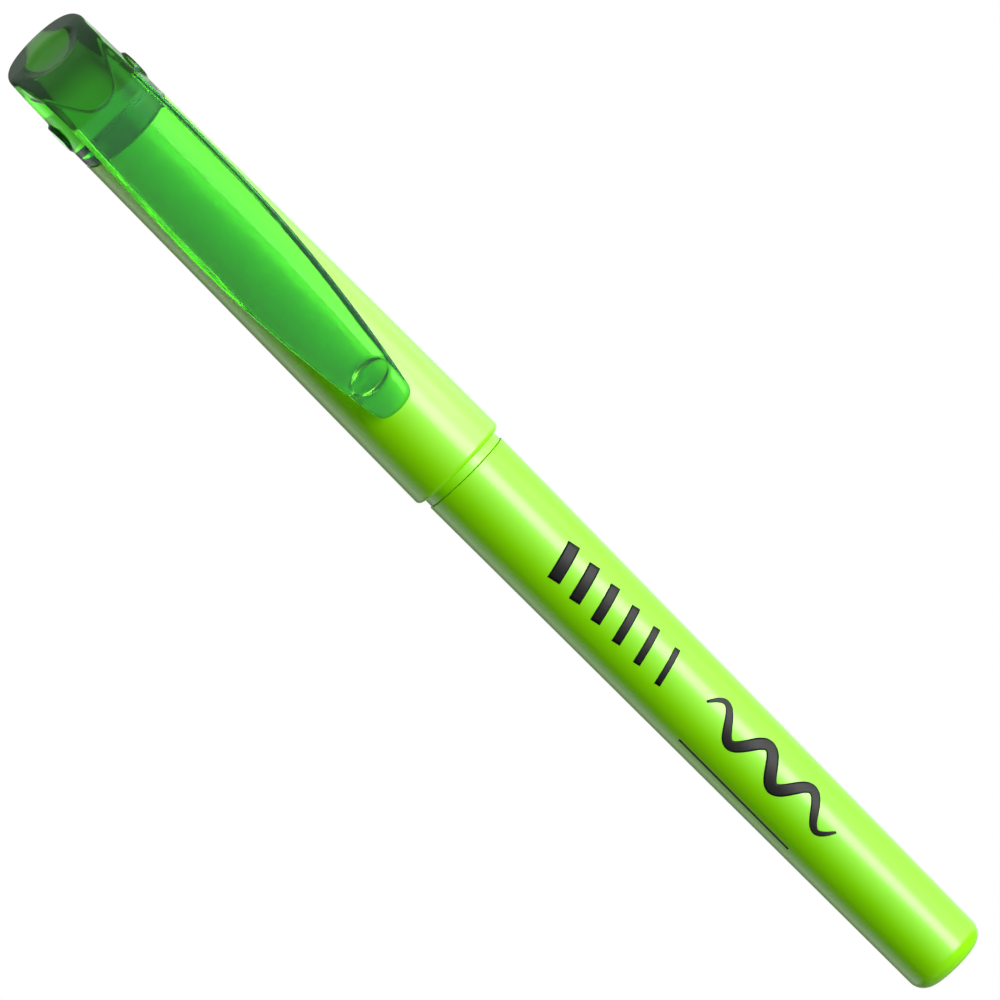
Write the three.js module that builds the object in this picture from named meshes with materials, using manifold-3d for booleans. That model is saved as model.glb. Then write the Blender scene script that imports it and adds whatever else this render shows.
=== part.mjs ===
// A slim capped highlighter, standing on its tail. Units are millimetres, +Z runs from the tail to the
// crown along the pen's axis, the origin is the centre of the flat tail face, and the clip faces -Y.
//
// Barrel side: barrel, front_section, nib, reservoir_core, reservoir_film.
// Cap side: cap_sleeve, inner_cap, crown, clip_arm.

import * as THREE from "three";
import { mergeVertices } from "three/addons/utils/BufferGeometryUtils.js";
import Module from "manifold-3d";

const wasm = await Module();
wasm.setup();

// ---------------------------------------------------------------- driving dimensions

const LENGTH = 138; // tail face to the top of the crown
const SEGMENTS = 48; // facets round every turned surface
const HALF_TURN = Math.PI;

const BARREL_LENGTH = 73.6;
const BARREL_FRONT_R = 5.25;
const BARREL_TAIL_R = 4.68;
const BARREL_WALL = 0.78;
const TAIL_FILLET = 1.9;
const TAIL_FLOOR = 1.4;

const COLLAR_R = 5.17; // the neck ring that shows between barrel and cap
const LAND_R = 4.6; // guides the cap
const SEAL_R = 3.9; // the inner cap closes on this
const NOSE_TOP = 98.5;
const NOSE_TIP_R = 2.95;

const NIB_R = 2.2;
const NIB_SPIKE_R = 1.4;
const NIB_TOP = 104.2;

const RESERVOIR_R = 3.5;
const FILM_THICKNESS = 0.13;
const RESERVOIR_BOTTOM = 3.6;
const RESERVOIR_TOP = 67.5;

const CAP_MOUTH = 74.65; // height of the cap's open end when it is closed
const CAP_MOUTH_R = 5.92;
const CAP_TOP_R = 5.54;
const CAP_LIP_FILLET = 0.55;

const JOINT_Z = 124.4; // where the opaque sleeve meets the clear crown, on the axis
const JOINT_SLOPE = 0.245; // that joint falls towards the clip, by this much for each millimetre of y

const CLIP_FACE_Y = -8.5; // the clip's outer face
const CLIP_THICKNESS = 1.3;
const CLIP_HALF_WIDTH = 4.93;
const CLIP_ROOT_HALF_WIDTH = 4.5;
const CLIP_TIP = 84.5;
const CLIP_CHAMFER = 0.7; // along both back edges of the clip
const CLIP_LEAN = 0.018; // sideways, towards -X, for each millimetre below CLIP_LEAN_TOP
const CLIP_LEAN_TOP = 122;
const CLIP_SPLIT = 127.45; // the crown ends and the clip arm begins here
const CLIP_PAD_HEIGHT = 1.05;

const TOP_SLOPE = 0.42; // the crown's top falls towards the clip at this angle, in radians
const TOP_SLOPE_START_Y = 3.7;

const RUNNING_GAP = 0.08; // radial clearance between parts that slide
const PRESS_GAP = 0.07; // radial clearance drawn between parts pressed together
const SEAM = 0.05; // end gap drawn between parts that butt

const CLIP_INNER_Y = CLIP_FACE_Y + CLIP_THICKNESS;

// ---------------------------------------------------------------- helpers

const lerp = (a, b, t) => a + (b - a) * t;

/** Radius of a straight taper at height z, from radius r0 at z0 to r1 at z1. */
const taper = (z, z0, r0, z1, r1) => lerp(r0, r1, (z - z0) / (z1 - z0));

/** Points of a quarter round from start to end about the corner that they enclose, ends included. */
function round([r0, z0], [cornerR, cornerZ], [r1, z1], steps = 5) {
  const curve = new THREE.EllipseCurve();
  const points = [];
  for (let i = 0; i <= steps; i++) {
    const a = ((HALF_TURN / 2) * i) / steps;
    const u = 1 - Math.cos(a);
    const v = 1 - Math.sin(a);
    points.push([
      r0 + (cornerR - r0) * (1 - v) + (r1 - cornerR) * u,
      z0 + (cornerZ - z0) * (1 - v) + (z1 - cornerZ) * u,
    ]);
  }
  return points;
}

/** Turns a profile of [radius, z] pairs about +Z. Off the axis it closes on itself. */
function turned(profile) {
  const points = profile.map(([r, z]) => new THREE.Vector2(r, z));
  const onAxis = points[0].x === 0 && points.at(-1).x === 0;
  if (!onAxis) points.push(points[0].clone());
  return new THREE.LatheGeometry(points, SEGMENTS).rotateX(HALF_TURN / 2);
}

/** A closed outline in x and z, extruded along y from yLow to yHigh. */
function alongY(shape, yLow, yHigh, curveSegments = 10) {
  const depth = yHigh - yLow;
  return new THREE.ExtrudeGeometry(shape, { depth, bevelEnabled: false, curveSegments })
    .rotateX(HALF_TURN / 2)
    .translate(0, yHigh, 0);
}

/** A closed outline in y and z, extruded along x from -half to half. */
function alongX(shape, half, curveSegments = 10) {
  return new THREE.ExtrudeGeometry(shape, { depth: 2 * half, bevelEnabled: false, curveSegments })
    .rotateX(HALF_TURN / 2)
    .rotateZ(HALF_TURN / 2)
    .translate(-half, 0, 0);
}

/** A closed outline in x and y, extruded along z from zLow to zHigh. */
function alongZ(shape, zLow, zHigh, curveSegments = 12) {
  const depth = zHigh - zLow;
  const geometry = new THREE.ExtrudeGeometry(shape, { depth, bevelEnabled: false, curveSegments });
  return geometry.translate(0, 0, zLow);
}

/** A box between two corners. */
function box([x0, y0, z0], [x1, y1, z1]) {
  return new THREE.BoxGeometry(x1 - x0, y1 - y0, z1 - z0).translate(
    (x0 + x1) / 2,
    (y0 + y1) / 2,
    (z0 + z1) / 2,
  );
}

/** A closed geometry as a manifold-3d solid, for joining and cutting. */
function solid(geometry) {
  const bare = geometry.clone();
  bare.deleteAttribute("normal");
  bare.deleteAttribute("uv");
  const merged = mergeVertices(bare, 1e-4);
  return new wasm.Manifold(
    new wasm.Mesh({
      numProp: 3,
      vertProperties: merged.attributes.position.array,
      triVerts: new Uint32Array(merged.index.array),
    }),
  );
}

/** A manifold-3d solid as a three.js geometry. */
function geometryOf(manifold) {
  const mesh = manifold.getMesh();
  const geometry = new THREE.BufferGeometry();
  geometry.setAttribute("position", new THREE.BufferAttribute(mesh.vertProperties, 3));
  geometry.setIndex(new THREE.BufferAttribute(mesh.triVerts, 1));
  geometry.computeVertexNormals();
  return geometry;
}

/** Copies of a geometry spaced evenly round the axis. */
function aroundAxis(geometry, count, firstAngle = 0) {
  return Array.from({ length: count }, (_, i) =>
    geometry.clone().rotateZ(firstAngle + (2 * HALF_TURN * i) / count),
  );
}

/** A block that fills the space above the slanted joint between sleeve and crown, or below it. */
function besideJoint(offset, above) {
  const size = 40;
  return new THREE.BoxGeometry(size, size, size)
    .translate(0, 0, above ? size / 2 : -size / 2)
    .rotateX(Math.atan(JOINT_SLOPE))
    .translate(0, 0, JOINT_Z + offset);
}

const union = (first, ...rest) => rest.reduce((all, g) => all.add(solid(g)), first);
const cut = (first, ...rest) => rest.reduce((all, g) => all.subtract(solid(g)), first);

// ---------------------------------------------------------------- materials

const plastic = (color, roughness = 0.25) =>
  new THREE.MeshStandardMaterial({ color, roughness, metalness: 0 });

const glossGreen = plastic(0x8fe63c, 0.2);
const clearGreen = new THREE.MeshStandardMaterial({
  color: 0x2f9e4a,
  roughness: 0.1,
  metalness: 0,
  transparent: true,
  opacity: 0.6,
});
const linerGreen = plastic(0xc4f2a0, 0.45);
const felt = plastic(0xa6f01e, 0.95);
const fibre = plastic(0xb4f23c, 1);
const film = plastic(0xe8f4e4, 0.35);

// ---------------------------------------------------------------- barrel side

const barrelOuterR = (z) => taper(z, TAIL_FILLET, BARREL_TAIL_R, BARREL_LENGTH, BARREL_FRONT_R);
const barrelBoreR = (z) => barrelOuterR(z) - BARREL_WALL;

/** The barrel: one moulded tube, closed and rounded at the tail, with ribs that centre the reservoir. */
function barrel() {
  const edge = 0.12;
  const floorFillet = 0.8;
  const boreBottomR = barrelBoreR(TAIL_FLOOR + floorFillet);
  const shell = solid(
    turned([
      [0, 0],
      ...round([BARREL_TAIL_R - TAIL_FILLET, 0], [BARREL_TAIL_R, 0], [BARREL_TAIL_R, TAIL_FILLET], 7),
      [BARREL_FRONT_R, BARREL_LENGTH - edge],
      [BARREL_FRONT_R - edge, BARREL_LENGTH],
      [barrelBoreR(BARREL_LENGTH) + edge, BARREL_LENGTH],
      [barrelBoreR(BARREL_LENGTH), BARREL_LENGTH - edge],
      ...round(
        [boreBottomR, TAIL_FLOOR + floorFillet],
        [boreBottomR, TAIL_FLOOR],
        [boreBottomR - floorFillet, TAIL_FLOOR],
        4,
      ),
      [0, TAIL_FLOOR],
    ]),
  );
  const ribHalf = 0.35;
  const ribTop = 15;
  const ribInnerR = RESERVOIR_R + FILM_THICKNESS + 0.14;
  const standOff = box([1.2, -ribHalf, 1], [3.9, ribHalf, RESERVOIR_BOTTOM - 0.3]);
  const centring = box([ribInnerR, -ribHalf, 1.8], [4.15, ribHalf, ribTop]);
  return geometryOf(union(shell, ...aroundAxis(standOff, 4), ...aroundAxis(centring, 4)));
}

/** The front section: a plug pressed into the barrel, the neck ring, the lands for the cap, the nib seat. */
function frontSection() {
  const plugBottom = 60;
  const plugWallR = RESERVOIR_R + FILM_THICKNESS + 0.12;
  const nibSeatR = NIB_R + PRESS_GAP;
  const collarBottom = BARREL_LENGTH + SEAM;
  const collarTop = 75.6;
  const landTop = 81.7;
  const beadZ = 79.2;
  const beadHeight = 0.12;
  const coneBottom = 88.6;
  const coneTop = 95.5;
  const body = solid(
    turned([
      [plugWallR, plugBottom],
      [barrelBoreR(plugBottom) - 0.3, plugBottom],
      [barrelBoreR(plugBottom + 1) - PRESS_GAP, plugBottom + 1],
      [barrelBoreR(BARREL_LENGTH) - PRESS_GAP, collarBottom],
      [COLLAR_R, collarBottom],
      [COLLAR_R, collarTop - 0.3],
      [COLLAR_R - 0.3, collarTop],
      [LAND_R, collarTop],
      [LAND_R, beadZ - 0.5],
      [LAND_R + beadHeight, beadZ],
      [LAND_R, beadZ + 0.5],
      [LAND_R, landTop - 0.4],
      [LAND_R - 0.4, landTop],
      [SEAL_R, landTop],
      [SEAL_R, coneBottom],
      [NOSE_TIP_R + 0.1, coneTop],
      [NOSE_TIP_R, NOSE_TOP - 0.3],
      [NOSE_TIP_R - 0.3, NOSE_TOP],
      [nibSeatR, NOSE_TOP],
      [nibSeatR, 72],
      [plugWallR, 68.6],
    ]),
  );
  const airGroove = box([1.9, -0.28, 86], [nibSeatR + 0.32, 0.28, NOSE_TOP + 1]);
  return geometryOf(cut(body, ...aroundAxis(airGroove, 4, HALF_TURN / 4)));
}

/** The nib: a felt rod, spiked at the back where it feeds from the reservoir, with a chisel tip. */
function nib() {
  const spikeBottom = 57;
  const rod = turned([
    [0, spikeBottom],
    [NIB_SPIKE_R - 0.7, spikeBottom],
    [NIB_SPIKE_R, spikeBottom + 1.6],
    [NIB_SPIKE_R, 68.6],
    [NIB_R, 70.2],
    [NIB_R, NIB_TOP],
    [0, NIB_TOP],
  ]);
  const tipHalf = 1.15; // half the thickness of the chisel's edge
  const wedgeBottom = NOSE_TOP + 0.7;
  const wedge = new THREE.Shape([
    new THREE.Vector2(-3, spikeBottom - 1),
    new THREE.Vector2(3, spikeBottom - 1),
    new THREE.Vector2(3, wedgeBottom - 0.6),
    new THREE.Vector2(NIB_R, wedgeBottom),
    new THREE.Vector2(tipHalf, NIB_TOP + 0.1),
    new THREE.Vector2(-tipHalf, NIB_TOP + 0.1),
    new THREE.Vector2(-NIB_R, wedgeBottom),
    new THREE.Vector2(-3, wedgeBottom - 0.6),
  ]);
  const slant = new THREE.Shape([
    new THREE.Vector2(-3, spikeBottom - 1),
    new THREE.Vector2(3, spikeBottom - 1),
    new THREE.Vector2(3, NIB_TOP),
    new THREE.Vector2(NIB_R - 0.5, NIB_TOP),
    new THREE.Vector2(-NIB_R, NIB_TOP - 2.4),
    new THREE.Vector2(-3, NIB_TOP - 3.4),
  ]);
  return geometryOf(
    solid(rod).intersect(solid(alongX(wedge, 3))).intersect(solid(alongY(slant, -3, 3))),
  );
}

/** The reservoir's fibre core, with the socket that the nib's spike sits in. */
function reservoirCore() {
  const socketR = NIB_SPIKE_R + 0.1;
  const socketBottom = 56.8;
  return turned([
    [0, RESERVOIR_BOTTOM],
    [RESERVOIR_R, RESERVOIR_BOTTOM],
    [RESERVOIR_R, RESERVOIR_TOP],
    [socketR, RESERVOIR_TOP],
    [socketR, socketBottom + 1.6],
    [socketR - 0.7, socketBottom],
    [0, socketBottom],
  ]);
}

/** The plastic film wound round the fibre core. */
function reservoirFilm() {
  const inner = RESERVOIR_R + 0.03;
  const outer = RESERVOIR_R + FILM_THICKNESS;
  return turned([
    [inner, RESERVOIR_BOTTOM],
    [outer, RESERVOIR_BOTTOM],
    [outer, RESERVOIR_TOP],
    [inner, RESERVOIR_TOP],
  ]);
}

// ---------------------------------------------------------------- cap side

const CROWN_SPIGOT_BOTTOM = 117.5; // the crown is pressed this far down into the sleeve
const CROWN_SPIGOT_R = 4.65;
const CROWN_CAVITY_R = 3.95;

/** The cap's opaque outer sleeve: a tapered tube with a rounded lip and a snap bead inside. */
function capSleeve() {
  const mouthBoreR = COLLAR_R + RUNNING_GAP;
  const boreR = 4.98;
  const beadR = LAND_R + 0.12 + RUNNING_GAP;
  const beadZ = 80.4;
  const topBoreR = CROWN_SPIGOT_R + PRESS_GAP;
  const top = JOINT_Z + 2; // above the highest point of the joint
  const tube = turned([
    [mouthBoreR, CAP_MOUTH],
    ...round(
      [CAP_MOUTH_R - CAP_LIP_FILLET, CAP_MOUTH],
      [CAP_MOUTH_R, CAP_MOUTH],
      [CAP_MOUTH_R, CAP_MOUTH + CAP_LIP_FILLET],
    ),
    [CAP_TOP_R, top],
    [topBoreR, top],
    [topBoreR, CROWN_SPIGOT_BOTTOM - 1],
    [boreR, beadZ + 1.4],
    [beadR, beadZ + 0.3],
    [beadR, beadZ - 0.3],
    [boreR, beadZ - 1.4],
    [boreR, CAP_MOUTH + 2],
    [mouthBoreR, CAP_MOUTH + 1.5],
  ]);
  return geometryOf(cut(solid(tube), besideJoint(0, true)));
}

/** The inner cap: a cup that closes on the front section's seal land, held in the sleeve by six ribs. */
function innerCap() {
  const bottom = 82.2;
  const innerTop = 110;
  const wall = 0.7;
  const mouthR = SEAL_R + RUNNING_GAP;
  const cupR = 3.45;
  const taperFrom = 91.5;
  const taperTo = 97;
  const cup = solid(
    turned([
      [mouthR + 0.25, bottom],
      [4.82, bottom],
      [4.82, bottom + 1.4],
      [mouthR + wall, bottom + 1.8],
      [mouthR + wall, taperFrom],
      [cupR + wall, taperTo],
      ...round([cupR + wall, innerTop], [cupR + wall, innerTop + wall], [cupR, innerTop + wall], 3),
      [0, innerTop + wall],
      [0, innerTop],
      [cupR - 0.3, innerTop],
      [cupR, innerTop - 0.3],
      [cupR, taperTo],
      [mouthR, taperFrom],
      [mouthR, bottom + 0.25],
    ]),
  );
  const rib = box([cupR + wall - 0.1, -0.3, bottom + 0.8], [4.62, 0.3, 106]);
  return geometryOf(union(cup, ...aroundAxis(rib, 6)));
}

/** The crown from the side, in y and z: its top slopes down from the back and rounds over to the clip. */
function crownSideOutline(bottom) {
  const backY = CAP_TOP_R + 1;
  const slopeEndY = -6.1;
  const slopeEndZ = LENGTH - (TOP_SLOPE_START_Y - slopeEndY) * Math.tan(TOP_SLOPE);
  const shape = new THREE.Shape();
  shape.moveTo(CLIP_FACE_Y, bottom);
  shape.lineTo(backY, bottom);
  shape.lineTo(backY, LENGTH - 2.6);
  shape.lineTo(5.25, LENGTH - 1.5);
  shape.quadraticCurveTo(5.1, LENGTH, TOP_SLOPE_START_Y, LENGTH);
  shape.lineTo(slopeEndY, slopeEndZ);
  shape.bezierCurveTo(
    CLIP_FACE_Y + 0.8,
    slopeEndZ - 0.6,
    CLIP_FACE_Y,
    slopeEndZ - 1.8,
    CLIP_FACE_Y,
    slopeEndZ - 3.8,
  );
  return shape;
}

/** The crown seen from the front, in x and z: upright sides and rounded top corners. */
function crownFrontOutline(bottom) {
  const half = 6;
  const cornerR = 1.9;
  const cornerX = 5.2 - cornerR;
  const cornerZ = LENGTH - cornerR;
  const shape = new THREE.Shape();
  shape.moveTo(-half, bottom);
  shape.lineTo(half, bottom);
  shape.lineTo(half, cornerZ - 3);
  shape.absarc(cornerX, cornerZ, cornerR, 0, HALF_TURN / 2);
  shape.absarc(-cornerX, cornerZ, cornerR, HALF_TURN / 2, HALF_TURN);
  shape.lineTo(-half, cornerZ - 3);
  return shape;
}

/** The hood between crown and clip, seen from above: straight sides that run forward to the clip's face. */
function hoodPlan() {
  const backHalf = 5.2;
  const frontHalf = CLIP_ROOT_HALF_WIDTH;
  const shape = new THREE.Shape();
  shape.moveTo(-backHalf, 0);
  shape.lineTo(-frontHalf, CLIP_FACE_Y);
  shape.lineTo(frontHalf, CLIP_FACE_Y);
  shape.lineTo(backHalf, 0);
  return shape;
}

/** The space behind the clip, from the front: a V-shaped web is left between the crown and the clip. */
function gapOutline(bottom) {
  const side = 7;
  const steepness = 1.76;
  const footHalf = 0.5;
  const footZ = 128.1;
  const bendX = 2;
  const bendZ = 128.85;
  const sideZ = bendZ + (side - bendX) * steepness;
  const shape = new THREE.Shape();
  shape.moveTo(-side, bottom);
  shape.lineTo(side, bottom);
  shape.lineTo(side, sideZ);
  shape.lineTo(bendX, bendZ);
  shape.quadraticCurveTo(1.57, footZ, footHalf, footZ);
  shape.lineTo(-footHalf, footZ);
  shape.quadraticCurveTo(-1.57, footZ, -bendX, bendZ);
  shape.lineTo(-side, sideZ);
  return shape;
}

/** The crown: the clear end of the cap, with its spigot, its hood towards the clip and a dished top. */
function crown() {
  const bottom = JOINT_Z - 2; // below the lowest point of the joint
  const core = turned([
    [0, bottom],
    [CAP_TOP_R, bottom],
    [CAP_TOP_R, 126.3],
    [5.32, 131],
    [5.25, 134],
    [5.25, LENGTH + 1],
    [0, LENGTH + 1],
  ]);
  const hoodBottom = CLIP_SPLIT + 0.15;
  const gap = solid(alongY(gapOutline(hoodBottom - 1), CLIP_INNER_Y, 0.5)).subtract(solid(core));
  let body = solid(alongZ(hoodPlan(), hoodBottom, LENGTH + 1)).subtract(gap).add(solid(core));
  body = body.intersect(solid(alongX(crownSideOutline(bottom), 7, 16)));
  body = body.intersect(solid(alongY(crownFrontOutline(bottom), -10, 8, 8)));

  const ear = new THREE.SphereGeometry(1, 16, 10).scale(0.62, 1.9, 2.2);
  const ears = [-1, 1].map((side) => ear.clone().translate(side * 5.1, 0.5, 128.4));
  body = cut(union(body, ...ears), besideJoint(SEAM, false));

  const spigot = turned([
    [0, CROWN_SPIGOT_BOTTOM],
    [CROWN_SPIGOT_R - 0.3, CROWN_SPIGOT_BOTTOM],
    [CROWN_SPIGOT_R, CROWN_SPIGOT_BOTTOM + 0.5],
    [CROWN_SPIGOT_R, JOINT_Z + 2],
    [0, JOINT_Z + 2],
  ]);
  const cavityTop = 126;
  const cavityCorner = 0.8;
  const cavity = turned([
    [0, CROWN_SPIGOT_BOTTOM - 1],
    [CROWN_CAVITY_R, CROWN_SPIGOT_BOTTOM - 1],
    ...round(
      [CROWN_CAVITY_R, cavityTop - cavityCorner],
      [CROWN_CAVITY_R, cavityTop],
      [CROWN_CAVITY_R - cavityCorner, cavityTop],
    ),
    [0, cavityTop],
  ]);
  const dishY = -1.5;
  const dishZ = LENGTH - (TOP_SLOPE_START_Y - dishY) * Math.tan(TOP_SLOPE) + 0.24;
  const dish = new THREE.SphereGeometry(1, 24, 12)
    .scale(3.4, 3.2, 1)
    .rotateX(TOP_SLOPE)
    .translate(0, dishY, dishZ);
  return geometryOf(cut(union(body, spigot), cavity, dish));
}

/** Outline of the clip from the front, drawn inset: it leans a little and narrows to a blunt tip. */
function clipOutline(top, inset) {
  const curveTop = 112;
  const half = CLIP_HALF_WIDTH - inset;
  const rootHalf = CLIP_ROOT_HALF_WIDTH - inset;
  const tipHalf = half - 2.5;
  const side = CLIP_TIP + 1.4;
  const shape = new THREE.Shape();
  const leaned = (x, z) => [x - CLIP_LEAN * Math.max(CLIP_LEAN_TOP - z, 0), z];
  const curveTo = (control, end) => shape.quadraticCurveTo(...leaned(...control), ...leaned(...end));
  shape.moveTo(...leaned(-rootHalf, top));
  curveTo([-half, lerp(top, curveTop, 0.45)], [-half, curveTop]);
  curveTo([-half, 99.6], [-tipHalf, side]);
  curveTo([-tipHalf + 0.25, CLIP_TIP + 0.35], [-tipHalf + 1.2, CLIP_TIP + 0.15]);
  curveTo([0, CLIP_TIP - 0.1], [tipHalf - 1.2, CLIP_TIP + 0.15]);
  curveTo([tipHalf - 0.25, CLIP_TIP + 0.35], [tipHalf, side]);
  curveTo([half, 99.6], [half, curveTop]);
  curveTo([half, lerp(top, curveTop, 0.45)], [rootHalf, top]);
  return shape;
}

/** The clip arm: a plate with chamfered back edges and the oval pad that grips whatever it is clipped to. */
function clipArm() {
  const top = CLIP_SPLIT - 0.15;
  const padZ = 88.4;
  const plate = new THREE.ExtrudeGeometry(clipOutline(top + 1, CLIP_CHAMFER), {
    depth: CLIP_THICKNESS,
    bevelThickness: CLIP_CHAMFER,
    bevelSize: CLIP_CHAMFER,
    bevelSegments: 1,
    curveSegments: 12,
  })
    .rotateX(HALF_TURN / 2)
    .translate(0, CLIP_INNER_Y - CLIP_CHAMFER, 0);
  const pad = new THREE.SphereGeometry(1, 24, 12)
    .scale(2.6, CLIP_PAD_HEIGHT + 0.6, 1.75)
    .translate(-CLIP_LEAN * (CLIP_LEAN_TOP - padZ), CLIP_INNER_Y - 0.6, padZ);
  const padded = solid(plate)
    .subtract(solid(box([-9, -20, 60], [9, CLIP_FACE_Y, 140])))
    .add(solid(pad).subtract(solid(box([-9, -20, 60], [9, CLIP_INNER_Y - 0.3, 140]))));
  return geometryOf(padded.subtract(solid(box([-9, -20, top], [9, 0, 140]))));
}

// ---------------------------------------------------------------- assembly

function node(name, geometry, material) {
  const mesh = new THREE.Mesh(geometry, material);
  mesh.name = name;
  return mesh;
}

const barrelSide = new THREE.Group().add(
  node("barrel", barrel(), glossGreen),
  node("front_section", frontSection(), glossGreen),
  node("nib", nib(), felt),
  node("reservoir_core", reservoirCore(), fibre),
  node("reservoir_film", reservoirFilm(), film),
);

const capSide = new THREE.Group().add(
  node("cap_sleeve", capSleeve(), glossGreen),
  node("inner_cap", innerCap(), linerGreen),
  node("crown", crown(), clearGreen),
  node("clip_arm", clipArm(), clearGreen),
);

const highlighter = new THREE.Group().add(barrelSide, capSide);

export default highlighter;
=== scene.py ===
"""A slim capped highlighter: glossy green barrel and cap sleeve, clear green crown and clip.

Sizes in the functions below are millimetres, along the frame of the CAD part: +Z up the pen's axis from the
tail, -Y towards the clip. MM turns them into Blender's metres when a mesh is made.
"""

import math

import bpy
import numpy as np
from mathutils import Matrix, Vector


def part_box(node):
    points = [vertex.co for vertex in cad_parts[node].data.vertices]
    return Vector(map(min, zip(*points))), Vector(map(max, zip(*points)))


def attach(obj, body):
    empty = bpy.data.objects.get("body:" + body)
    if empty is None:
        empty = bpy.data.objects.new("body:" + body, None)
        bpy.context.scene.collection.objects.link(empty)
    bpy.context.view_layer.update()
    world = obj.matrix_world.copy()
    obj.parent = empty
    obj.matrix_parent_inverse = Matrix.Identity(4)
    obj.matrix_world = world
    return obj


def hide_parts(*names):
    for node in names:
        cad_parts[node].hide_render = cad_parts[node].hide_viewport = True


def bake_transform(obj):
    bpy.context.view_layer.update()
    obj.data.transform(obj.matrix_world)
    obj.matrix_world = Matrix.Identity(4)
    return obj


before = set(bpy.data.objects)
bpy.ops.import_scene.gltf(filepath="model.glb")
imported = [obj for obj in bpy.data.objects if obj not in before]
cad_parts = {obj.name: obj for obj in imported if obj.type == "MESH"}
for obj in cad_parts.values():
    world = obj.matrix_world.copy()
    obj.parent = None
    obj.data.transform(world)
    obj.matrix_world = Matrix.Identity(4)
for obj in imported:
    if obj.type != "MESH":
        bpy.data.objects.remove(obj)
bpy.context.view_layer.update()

MM = 0.001
TAU = 2 * math.pi
ON_AXIS = 1e-6  # a smaller radius than this is taken as none


def lowest(node):
    """Lowest corner of a CAD node's box, in millimetres."""
    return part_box(node)[0] / MM


def highest(node):
    """Highest corner of a CAD node's box, in millimetres."""
    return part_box(node)[1] / MM


BARREL_LENGTH = highest("barrel").z
BARREL_FRONT_R = highest("barrel").x
BARREL_TAIL_R = 4.68
BARREL_WALL = 0.78
TAIL_FILLET = 1.9

NOSE_TOP_Z = highest("front_section").z
NIB_BACK_Z = lowest("nib").z
NIB_TIP_Z = highest("nib").z

SLEEVE_MOUTH_Z = lowest("cap_sleeve").z
SLEEVE_MOUTH_R = highest("cap_sleeve").x
SLEEVE_TOP_R = 5.54
SLEEVE_BORE_R = 4.72  # in the upper part of the sleeve
INNER_CAP_Z = lowest("inner_cap").z
JOINT_Z = 124.4  # where sleeve and crown meet, on the axis
JOINT_SLOPE = 0.245  # the joint falls towards the clip
JOINT_FACING = 0.971  # turns a height above the joint into a distance from it

SPIGOT_Z = lowest("crown").z
CROWN_TOP_Z = highest("crown").z
CLIP_FACE_Y = lowest("clip_arm").y
CLIP_TIP_Z = lowest("clip_arm").z
CLIP_THICKNESS = 1.3
CLIP_INNER_Y = CLIP_FACE_Y + CLIP_THICKNESS
CLIP_HALF_WIDTH = 4.93
CLIP_ROOT_HALF = 4.5
CLIP_LEAN = 0.018  # sideways, towards -X, for each millimetre below CLIP_LEAN_Z
CLIP_LEAN_Z = 122
HOOD_START_Z = 127.7  # above this height the clip's face leans back, along an ellipse over the crown
HOOD_TOP_Y = 12  # where that ellipse would be level
HOOD_REACH = HOOD_TOP_Y - CLIP_FACE_Y
HOOD_RISE = 10.9  # how far it rises above HOOD_START_Z

CAMERA_AZIMUTH = math.radians(-3.75)
CAMERA_ELEVATION = math.radians(5)


# ---------------------------------------------------------------- meshes


def mesh_object(name, points, faces):
    """A smooth-shaded mesh object from points in millimetres."""
    mesh = bpy.data.meshes.new(name)
    mesh.from_pydata((np.asarray(points, float) * MM).tolist(), [], [list(f) for f in faces])
    mesh.validate()
    mesh.shade_smooth()
    obj = bpy.data.objects.new(name, mesh)
    bpy.context.scene.collection.objects.link(obj)
    return obj


def rounded(corners, steps):
    """A profile of (radius, z) points with each corner (radius, z, fillet) rounded by an arc.

    Every arc is framed by two more points close to its ends, so that smooth shading stays flat on the walls.
    The first and last corners are kept as they are.
    """
    profile = [tuple(corners[0][:2])]
    for before, corner, after in zip(corners, corners[1:], corners[2:]):
        here = Vector(corner[:2])
        to_before = (Vector(before[:2]) - here).normalized()
        to_after = (Vector(after[:2]) - here).normalized()
        fillet = corner[2]
        if fillet == 0:
            profile.append(tuple(here))
            continue
        half_angle = to_before.angle(to_after) / 2
        tangent = fillet / math.tan(half_angle)
        centre = here + (to_before + to_after).normalized() * (fillet / math.sin(half_angle))
        start = here + to_before * tangent
        end = here + to_after * tangent
        gap = 0.12 * fillet
        profile.append(tuple(start + to_before * gap))
        sweep = (start - centre).angle_signed(end - centre)
        for i in range(steps + 1):
            arm = Matrix.Rotation(-sweep * i / steps, 2) @ (start - centre)
            profile.append(tuple(centre + arm))
        profile.append(tuple(end + to_after * gap))
    profile.append(tuple(corners[-1][:2]))
    return profile


def lathe(name, profile, segments, shape):
    """Turns a profile of (radius, z) points about +Z into a closed mesh.

    A profile that starts and ends on the axis is closed there, and any other closes on itself.
    shape(radius, z, angle) may move each point: it returns the new radius and z.
    """
    points, rings = [], []
    for radius, z in profile:
        if radius < ON_AXIS:
            rings.append([len(points)] * segments)
            points.append((0, 0, z))
            continue
        ring = []
        for i in range(segments):
            angle = TAU * i / segments
            r, height = shape(radius, z, angle)
            ring.append(len(points))
            points.append((r * math.cos(angle), r * math.sin(angle), height))
        rings.append(ring)
    pairs = list(zip(rings, rings[1:]))
    if profile[0][0] > ON_AXIS:
        pairs.append((rings[-1], rings[0]))
    faces = []
    for lower, upper in pairs:
        for i in range(segments):
            j = (i + 1) % segments
            corners = [lower[i], lower[j], upper[j], upper[i]]
            face = [c for n, c in enumerate(corners) if c not in corners[:n]]
            if len(face) > 2:
                faces.append(face)
    return mesh_object(name, points, faces)


def along_wall(low, high, spacing):
    """Heights between low and high, both left out, spaced evenly."""
    count = max(1, round(abs(high - low) / spacing))
    return [low + (high - low) * i / count for i in range(1, count)]


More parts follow.
